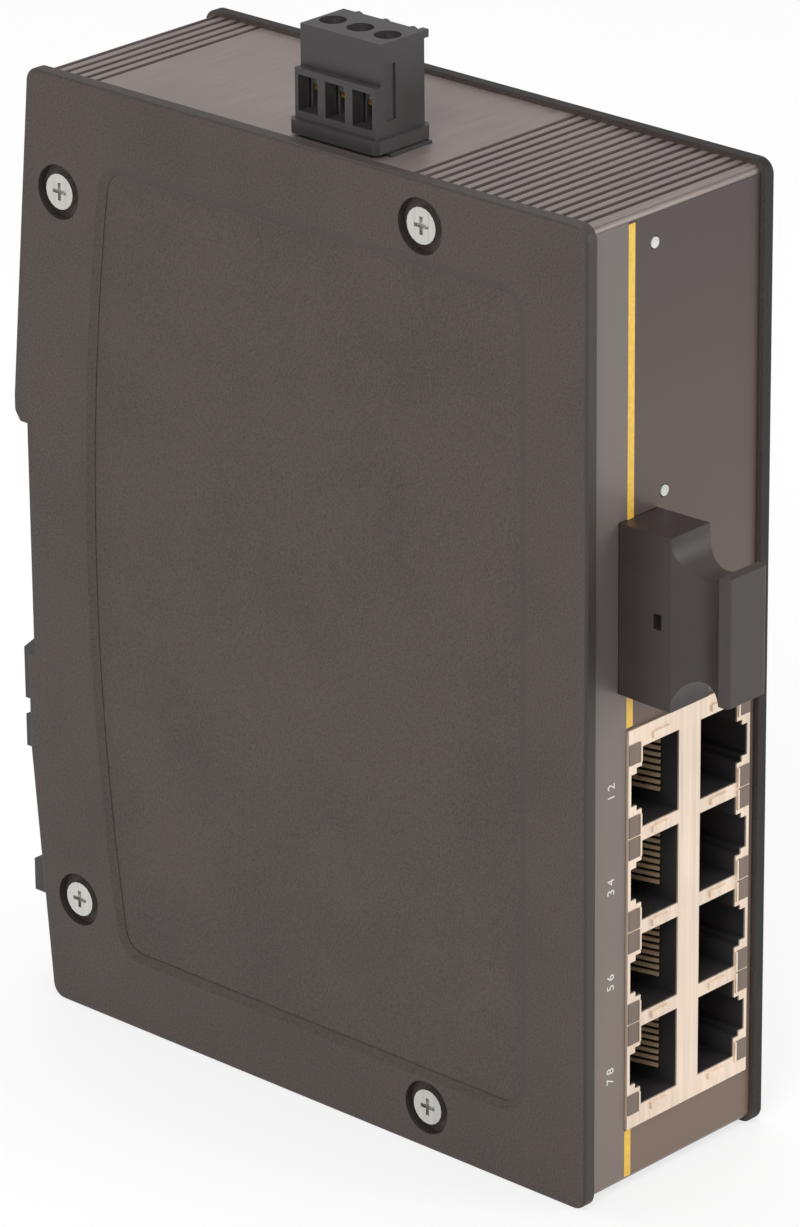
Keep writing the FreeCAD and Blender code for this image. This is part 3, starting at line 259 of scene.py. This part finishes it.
def anodised_band():
    finish = Finish("frame_anodised", Metallic=0.5)
    where = finish.place()
    streaks = finish.noise(finish.place(stretch=(0.02, 1, 1)), 4.0, 3.0, 0.55)
    clouds = finish.noise(where, 0.06, 2.0)
    height = finish.node("ShaderNodeSeparateXYZ", inputs={0: where}, output="Z")
    normal = finish.node("ShaderNodeTexCoord", output="Normal")
    facing = finish.node("ShaderNodeSeparateXYZ", inputs={0: normal}, output="Z")
    outside = float(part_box("housing_frame")[1][2]) / MM
    # Painted shade: groove floors below the outside take a darker colour.
    sunk = finish.ramp(height * height, (outside - GROOVE_FROM) ** 2, (outside - GROOVE_TO) ** 2)
    groove_shade = sunk * (facing * facing > FACING_UP)
    tone = finish.ramp(streaks * 0.6 + clouds * 0.4, 0.35, 0.65)
    drawn = finish.blend(tone, linear(121, 110, 107), linear(137, 126, 122))
    finish.feed(Base_Color=finish.blend(groove_shade, drawn, linear(78, 69, 66)))
    finish.feed(Roughness=finish.ramp(streaks, 0.3, 0.7, 0.34, 0.48))
    finish.bump(streaks, 0.008 * MM)
    return finish.material


wear("housing_frame", anodised_band())
print("extrusion finished")

# %% [markdown]
# ## Metals of the small parts
# Zinc on the screws is slightly cloudy. The socket shield is bright tinned sheet; its spring leaves are
# duller, and their darker brown colour is a painted reflection of the dark parts around them. The power
# contacts are gold flashed, and the socket contacts are a paler, duller wire. One recipe serves them all,
# with other colours and roughness.

# %% Plated metals
zinc = drawn_metal("zinc_plate", linear(196, 194, 188), "z", rough=0.30, metallic=0.95, lines=0.5)
steel = drawn_metal("plain_steel", linear(168, 168, 166), "z", rough=0.34, metallic=0.95, lines=0.4)
tinned = drawn_metal("tinned_sheet", linear(224, 205, 186), "z", rough=0.34, metallic=0.6, lines=0.8,
                     depth=0.004)
# Painted reflection: the leaves' darker brown colour stands for the dark parts they reflect.
leaf_dark_reflection = drawn_metal("spring_leaf", linear(116, 101, 90), "z", rough=0.36, metallic=0.5, lines=0.4)
gold = drawn_metal("gold_flash", linear(226, 182, 104), "y", rough=0.24, metallic=1.0, lines=0.3)
spring_wire = drawn_metal("contact_wire", linear(172, 145, 114), "y", rough=0.5, metallic=0.2, lines=0.3)
for label in ("left_cover_screws", "right_cover_screws", "board_screws", "bracket_screws"):
    wear(label, zinc)
for label in ("terminal_screw_1", "terminal_screw_2", "terminal_screw_3", "clamp_cage_1", "clamp_cage_2",
              "clamp_cage_3", "latch_spring", "clock_crystal"):
    wear(label, steel)
wear("rj45_shield", tinned)
wear("rj45_contacts", spring_wire)
for label in ("header_pins", "plug_contacts"):
    wear(label, gold)
print("metals finished")

# %% [markdown]
# ## Moulded plastics
# Moulded parts take a spark-eroded grain from their tool. It is finer and shallower than the coat on the
# covers, and the gloss drifts a little where hands have polished it. The ceramic and the capacitors' cans
# are finished here too.

# %% Plastic finish
def moulded(name, colour, rough=0.45, grain=5.0, depth=0.012):
    finish = Finish(name)
    where = finish.place()
    grains = finish.noise(where, grain, 2.0, 0.5)
    handled = finish.noise(where, 0.12, 3.0)
    pale = [min(1.0, c * 1.22 + 0.002) for c in colour[:3]] + [1.0]
    finish.feed(Base_Color=finish.blend(finish.ramp(handled * 0.6 + grains * 0.4, 0.35, 0.65), colour, pale))
    finish.feed(Roughness=finish.ramp(handled, 0.3, 0.7, rough - 0.08, rough + 0.08))
    finish.bump(grains, depth * MM)
    return finish.material


black = moulded("black_moulding", linear(46, 43, 44))
wear("fibre_dust_cap", moulded("dust_cap_moulding", linear(47, 39, 37), rough=0.46))
wear("power_plug", moulded("plug_moulding", linear(48, 45, 46), rough=0.46))
for label in ("power_header", "fibre_transceiver", "rail_bracket", "rail_latch"):
    wear(label, black)
wear("rj45_insulator", moulded("socket_moulding", linear(38, 36, 37), rough=0.5))
component = moulded("component_body", linear(34, 34, 36), rough=0.55)
for label in ("switch_chip", "isolation_transformers", "memory_chip", "power_inductor", "regulator_chip",
              "surge_diode"):
    wear(label, component)
ceramic = moulded("ceramic", linear(226, 222, 212), rough=0.3)
for label in ("input_fuse", "fibre_ferrules"):
    wear(label, ceramic)
wear("smoothing_capacitors", drawn_metal("capacitor_can", linear(120, 124, 136), "x", rough=0.32))
print("plastics finished")

# %% [markdown]
# ## Board, lamps and light pipes
# The board's solder resist is a glossy green film over copper tracks, which show as slightly paler lines.
# The light pipes are clear moulded plastic.

# %% Board and clear parts
def solder_resist():
    finish = Finish("solder_resist", Roughness=0.35)
    where = finish.place()
    split = finish.node("ShaderNodeSeparateXYZ", inputs={0: where}, output="Z")
    wander = finish.noise(finish.place(stretch=(1, 0.05, 1)), 0.35, 1.0)
    lines = finish.node("ShaderNodeMath", {"operation": "PINGPONG"}, {0: split + wander * 6.0, 1: 0.6})
    track = finish.ramp(lines, 0.28, 0.34)
    finish.feed(Base_Color=finish.blend(track, linear(24, 92, 52), linear(16, 66, 38)))
    finish.bump(1 - track, 0.02 * MM)
    return finish.material


def clear_plastic():
    finish = Finish("clear_pipe", Roughness=0.12)
    haze = finish.noise(finish.place(), 1.2, 2.0)
    finish.feed(Base_Color=finish.blend(haze, linear(168, 170, 164), linear(206, 206, 200)))
    return finish.material


wear("main_board", solder_resist())
clear = clear_plastic()
wear("light_pipes", clear)
wear("indicator_leds", clear)
print("board finished")

# %% [markdown]
# ## The printed front
# A thin foil covers the front. It is dark and slightly glossy, lighter towards the bottom, and its left
# margin is a paler strip. A yellow line divides the two.

# %% Front foil finish
TOP = float(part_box("left_cover")[1][2])
BOTTOM = -TOP
LEFT = float(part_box("left_cover")[0][0])
FOIL_FACE = float(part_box("front_foil")[0][1])
STRIP_WIDE = 9.3
FADE_REACH = 71


def printed_foil():
    finish = Finish("printed_foil")
    finish.shader.inputs["Specular IOR Level"].default_value = 0.55
    where = finish.place()
    along = finish.node("ShaderNodeSeparateXYZ", inputs={0: where}, output="Z")
    across = finish.node("ShaderNodeSeparateXYZ", inputs={0: where}, output="X")
    fade = finish.ramp(along, FADE_REACH, -FADE_REACH)
    field = finish.blend(fade, linear(59, 48, 46), linear(110, 90, 76))
    strip = finish.blend(fade, linear(98, 91, 88), linear(122, 110, 102))
    edge = across < LEFT / MM + STRIP_WIDE
    fine = finish.noise(where, 3.0, 2.0)
    finish.feed(Base_Color=finish.blend(edge, field, strip))
    finish.feed(Roughness=finish.ramp(fine, 0.3, 0.7, 0.36, 0.46))
    finish.feed(Metallic=finish.ramp(fade * edge, 0.0, 1.0, 0.1, 0.45))
    finish.bump(fine, 0.004 * MM)
    return finish.material


wear("front_foil", printed_foil())
print("foil printed")

# %% [markdown]
# ## Printed marks
# The marks are ink, less than a twentieth of a millimetre thick. A thin slab stands for each length of the
# line, and the port numbers are text turned on its side, made a mesh and laid on the foil.

# %% Ink and the yellow line
def ink(name, colour):
    finish = Finish(name)
    spots = finish.noise(finish.place(), 2.0, 2.0)
    worn = [c * 0.86 for c in colour[:3]] + [1.0]
    finish.feed(Base_Color=finish.blend(finish.ramp(spots, 0.35, 0.65), worn, colour))
    finish.feed(Roughness=finish.ramp(spots, 0.3, 0.7, 0.42, 0.55))
    return finish.material


yellow = ink("yellow_ink", linear(222, 178, 70))
white = ink("white_ink", linear(214, 208, 200))
INK = 0.04 * MM


def slab(builder, low, high):
    """Add a closed block between two corners."""
    made = bmesh.ops.create_cube(builder, size=1.0)["verts"]
    middle = (Vector(low) + Vector(high)) / 2
    spread = Vector(high) - Vector(low)
    for vertex in made:
        vertex.co = Vector(c * s + m for c, s, m in zip(vertex.co, spread, middle))


def piece(name, builder, material, body="housing"):
    """A finished mesh piece that rides on one body."""
    mesh = bpy.data.meshes.new(name)
    builder.to_mesh(mesh)
    builder.free()
    mesh.materials.append(material)
    item = bpy.data.objects.new(name, mesh)
    bpy.context.scene.collection.objects.link(item)
    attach(item, body)
    return item


LINE_SIDES = (9.15, 10.45)
LINE_SPANS = ((1.8, 8.8), (69.4, 141.0))
builder = bmesh.new()
for low, high in LINE_SPANS:
    slab(builder, (LEFT + LINE_SIDES[0] * MM, FOIL_FACE - INK, BOTTOM + low * MM),
         (LEFT + LINE_SIDES[1] * MM, FOIL_FACE, BOTTOM + high * MM))
stripe = piece("yellow_line", builder, yellow)
print("yellow line laid")

# %% Port numbers
MARK_TALL = 2.0
MARK_ACROSS = 6.2
MARK_LEVELS = (61.0, 46.9, 32.6, 18.4)


def label(name, words, across, level):
    """Generic lettering on the foil, turned to be read from the side."""
    curve = bpy.data.curves.new(name, "FONT")
    curve.body = words
    curve.size = MARK_TALL * MM
    curve.align_x = "CENTER"
    curve.align_y = "CENTER"
    curve.extrude = INK / 2
    temporary = bpy.data.objects.new(name, curve)
    bpy.context.scene.collection.objects.link(temporary)
    bpy.context.view_layer.update()
    mesh = bpy.data.meshes.new_from_object(temporary)
    bpy.data.objects.remove(temporary)
    upright = Matrix.Rotation(math.radians(90), 4, "X")
    spin = Matrix.Rotation(math.radians(-90), 4, "Y")
    place = Matrix.Translation((LEFT + across * MM, FOIL_FACE - INK / 2, BOTTOM + level * MM))
    mesh.transform(place @ spin @ upright)
    mesh.materials.clear()
    mesh.materials.append(white)
    item = bpy.data.objects.new(name, mesh)
    bpy.context.scene.collection.objects.link(item)
    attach(item, "housing")
    return item


for row, level in enumerate(MARK_LEVELS):
    label(f"port_mark_{row + 1}", f"{2 * row + 1} {2 * row + 2}", MARK_ACROSS, level)
print("port numbers printed")

# %% [markdown]
# ## Geometry Nodes for what repeats
# Leads along a chip and spring leaves on the shield are one small form many times over. A node tree puts a
# block on evenly spaced points of a line, and named inputs give its sizes.

# %% A row of small blocks
def row_tree():
    tree = bpy.data.node_groups.new("row_of_blocks", "GeometryNodeTree")
    face = tree.interface
    for name, kind in (("Start", "Vector"), ("Step", "Vector"), ("Count", "Int"), ("Block", "Vector"),
                       ("Material", "Material")):
        face.new_socket(name, in_out="INPUT", socket_type="NodeSocket" + kind)
    face.new_socket("Geometry", in_out="OUTPUT", socket_type="NodeSocketGeometry")
    nodes = tree.nodes
    link = tree.links.new
    given = nodes.new("NodeGroupInput")
    line = nodes.new("GeometryNodeMeshLine")
    block = nodes.new("GeometryNodeMeshCube")
    spread = nodes.new("GeometryNodeInstanceOnPoints")
    real = nodes.new("GeometryNodeRealizeInstances")
    paint = nodes.new("GeometryNodeSetMaterial")
    out = nodes.new("NodeGroupOutput")
    link(given.outputs["Count"], line.inputs["Count"])
    link(given.outputs["Start"], line.inputs["Start Location"])
    link(given.outputs["Step"], line.inputs["Offset"])
    link(given.outputs["Block"], block.inputs["Size"])
    link(line.outputs["Mesh"], spread.inputs["Points"])
    link(block.outputs["Mesh"], spread.inputs["Instance"])
    link(spread.outputs["Instances"], real.inputs["Geometry"])
    link(real.outputs["Geometry"], paint.inputs["Geometry"])
    link(given.outputs["Material"], paint.inputs["Material"])
    link(paint.outputs["Geometry"], out.inputs["Geometry"])
    return tree


def solidified(name, tree, settings):
    """Run a tree once and keep its result as a plain mesh."""
    host = bpy.data.objects.new(name + "_host", bpy.data.meshes.new(name + "_host"))
    bpy.context.scene.collection.objects.link(host)
    modifier = host.modifiers.new("maker", "NODES")
    modifier.node_group = tree
    keys = {item.name: item.identifier for item in tree.interface.items_tree if item.in_out == "INPUT"}
    for key, value in settings.items():
        modifier[keys[key]] = value
    graph = bpy.context.evaluated_depsgraph_get()
    mesh = bpy.data.meshes.new_from_object(host.evaluated_get(graph))
    bpy.data.objects.remove(host)
    return mesh


def joined(name, meshes, material, body="housing"):
    """Several plain meshes as one piece on one body."""
    builder = bmesh.new()
    for mesh in meshes:
        builder.from_mesh(mesh)
    for face in builder.faces:
        face.material_index = 0
    whole = piece(name, builder, material, body)
    return whole


ROW = row_tree()
print("row tree ready")

# %% Leads of the chips
LEAD_LONG = 0.9
LEAD_THICK = 0.3


def leads(name, chip, per_side):
    """A row of flat leads along the front and back edges of one chip."""
    low, high = (Vector(corner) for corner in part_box(chip))
    foot = low.x + LEAD_THICK / 2 * MM
    pitch = (high.z - low.z) / (per_side + 1)
    meshes = []
    for side in (-1, 1):
        y = (low.y if side < 0 else high.y) + side * LEAD_LONG / 2 * MM
        meshes.append(solidified(f"{name}_{side}", ROW, {
            "Start": (foot, y, low.z + pitch), "Step": (0.0, 0.0, pitch), "Count": per_side,
            "Block": (LEAD_THICK * MM, LEAD_LONG * MM, LEAD_THICK * MM), "Material": tinned}))
    return joined(name, meshes, tinned)


for chip, count in (("switch_chip", 24), ("memory_chip", 4), ("regulator_chip", 4)):
    leads(f"{chip}_leads", chip, count)
print("chip leads made")

# %% Spring leaves of the socket shield
SHIELD_LOW, SHIELD_HIGH = (Vector(corner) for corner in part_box("rj45_shield"))
PORT_PITCH = 13.97 * MM
FIRST_PORT = BOTTOM + 18.1 * MM
LEAF_INSET = 1.2 * MM
LEAF_OFFSET = 5.35 * MM
LEAF = (2.2, 3.0)
LIP_OFFSET = 1.25 * MM
LIP = (0.3, 3.0)
RIB_TAB = (3.4, 1.0)
RIB_PLACES = (-3.15 * MM, 9.05 * MM)
SUNK_IN = 0.1


def port_row(name, x, z, block, material, count=4, proud=0.08):
    """One small form at the same place beside every port of a column."""
    return solidified(name, ROW, {
        "Start": (x, SHIELD_LOW.y - proud / 2 * MM, z), "Step": (0.0, 0.0, PORT_PITCH), "Count": count,
        "Block": (block[0] * MM, (proud + SUNK_IN) * MM, block[1] * MM), "Material": material})


leaves = []
lips = []
edges = (SHIELD_LOW.x + LEAF_INSET, SHIELD_HIGH.x - LEAF_INSET)
for side, edge, rib in zip((-1, 1), edges, RIB_PLACES):
    for way in (-1, 1):
        z = FIRST_PORT + way * LEAF_OFFSET
        leaves.append(port_row(f"leaf_{side}_{way}", edge, z, LEAF, leaf_dark_reflection))
        lips.append(port_row(f"lip_{side}_{way}", edge - side * LIP_OFFSET, z, LIP, tinned, proud=0.2))
    lips.append(port_row(f"rib_{side}", rib, FIRST_PORT - PORT_PITCH / 2, RIB_TAB, tinned, 5, 0.25))
joined("shield_leaves", leaves, leaf_dark_reflection)
joined("shield_lips", lips, tinned)
print("shield leaves made")

# %% [markdown]
# ## The latch spring
# The latch squeezes its coil spring as it slides, so the coil is made a piece of its own. It keeps the CAD
# spring's shape; its squeezed length is worked out below but not applied.

# %% Coil of the latch spring
spring_low, spring_high = (Vector(corner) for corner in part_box("latch_spring"))
latch_joint = next(joint for joint in frame["joints"] if joint["name"] == "latch_slide")
free_length = spring_high.z - spring_low.z
coil = bpy.data.objects.new("latch_coil", NODES["latch_spring"].data.copy())
bpy.context.scene.collection.objects.link(coil)
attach(coil, "housing")
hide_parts("latch_spring")
(free_length - latch_joint["range_m"][1]) / free_length
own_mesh(coil)
print("coil", round(free_length / MM, 1), "mm long at rest")

# %% [markdown]
# ## Studio
# A pale floor and backdrop, three large soft lamps and a low world light show the form without glare. The
# floor and world are lighter to the camera than they are as light on the part.

# %% Floor and world
FLOOR_RADIUS = 4.0
FLOOR_GLOW = 0.72
WORLD_LIGHT = 0.55


def studio_paper():
    """Matt paper that glows a little, only for the camera and in reflections."""
    finish = Finish("studio_paper", Roughness=0.9)
    fibres = finish.noise(finish.place(), 0.02, 2.0)
    finish.feed(Base_Color=finish.blend(fibres, (0.80, 0.80, 0.80, 1), (0.83, 0.83, 0.83, 1)))
    seen = finish.node("ShaderNodeLightPath", output="Is Camera Ray")
    mirrored = finish.node("ShaderNodeLightPath", output="Is Glossy Ray")
    nodes, link = finish.tree.nodes, finish.tree.links.new
    glow = nodes.new("ShaderNodeEmission")
    glow.inputs["Color"].default_value = (1, 1, 1, 1)
    glow.inputs["Strength"].default_value = 1.0
    mix = nodes.new("ShaderNodeMixShader")
    link((seen.maths("MAXIMUM", seen, mirrored) * FLOOR_GLOW).socket, mix.inputs[0])
    link(finish.shader.outputs[0], mix.inputs[1])
    link(glow.outputs[0], mix.inputs[2])
    link(mix.outputs[0], nodes["Material Output"].inputs["Surface"])
    return finish.material


builder = bmesh.new()
bmesh.ops.create_circle(builder, cap_ends=True, segments=96, radius=FLOOR_RADIUS)
floor_mesh = bpy.data.meshes.new("floor")
builder.to_mesh(floor_mesh)
builder.free()
floor_mesh.transform(Matrix.Translation((0, 0, cad_box[0][2])))
floor_mesh.materials.append(studio_paper())
floor = bpy.data.objects.new("floor", floor_mesh)
bpy.context.scene.collection.objects.link(floor)

world = bpy.data.worlds.new("studio")
bpy.context.scene.world = world
world.use_nodes = True
sky = world.node_tree
light = sky.nodes["Background"]
light.inputs["Color"].default_value = (1, 1, 1, 1)
light.inputs["Strength"].default_value = WORLD_LIGHT
seen = sky.nodes.new("ShaderNodeBackground")
seen.inputs["Color"].default_value = (1, 1, 1, 1)
path = sky.nodes.new("ShaderNodeLightPath")
swap = sky.nodes.new("ShaderNodeMixShader")
sky.links.new(path.outputs["Is Camera Ray"], swap.inputs[0])
sky.links.new(light.outputs[0], swap.inputs[1])
sky.links.new(seen.outputs[0], swap.inputs[2])
sky.links.new(swap.outputs[0], sky.nodes["World Output"].inputs["Surface"])
print("floor and world ready")

# %% Lamps
def lamp(name, place, target, width, power):
    data = bpy.data.lights.new(name, "AREA")
    data.shape = "DISK"
    data.size = width
    data.energy = power
    item = bpy.data.objects.new(name, data)
    item.location = place
    item.rotation_euler = (Vector(target) - Vector(place)).to_track_quat("-Z", "Y").to_euler()
    bpy.context.scene.collection.objects.link(item)
    return item


middle = (0, -0.05, 0)
lamp("key_lamp", (-0.9, -0.5, 0.9), middle, 0.7, 9.0)
lamp("front_lamp", (0.5, -1.1, 0.35), middle, 0.7, 6.0)
lamp("top_lamp", (0.1, 0.2, 1.2), middle, 0.8, 7.0)
print("lamps placed")

# %% [markdown]
# ## Camera
# A long lens from the front left and above keeps the verticals nearly parallel, as in a catalogue.

# %% Camera
TURN = -0.8210761
LIFT = 0.3922973
ROLL = -0.0087506
REACH = 1.0069843
AIM = (0.0354818, 0.0514687)
PIVOT = Vector((0, -0.0055806, -0.0715))
SENSOR = 36.0
LENS = 198.836186
back = Vector((math.sin(TURN) * math.cos(LIFT), -math.cos(TURN) * math.cos(LIFT), math.sin(LIFT)))
side = Vector((0, 0, 1)).cross(back).normalized()
rise = back.cross(side)
right = math.cos(ROLL) * side + math.sin(ROLL) * rise
upward = -math.sin(ROLL) * side + math.cos(ROLL) * rise
place = AIM[0] * right + AIM[1] * upward + REACH * back + PIVOT
camera_data = bpy.data.cameras.new("camera")
camera_data.sensor_fit = "VERTICAL"
camera_data.sensor_height = SENSOR
camera_data.lens = LENS
camera_data.clip_start = 0.01
camera = bpy.data.objects.new("camera", camera_data)
camera.matrix_world = Matrix((
    (right.x, upward.x, back.x, place.x),
    (right.y, upward.y, back.y, place.y),
    (right.z, upward.z, back.z, place.z),
    (0, 0, 0, 1),
))
bpy.context.scene.collection.objects.link(camera)
bpy.context.scene.camera = camera
bpy.context.scene.view_settings.view_transform = "Standard"
print("camera at", [round(c, 3) for c in place])
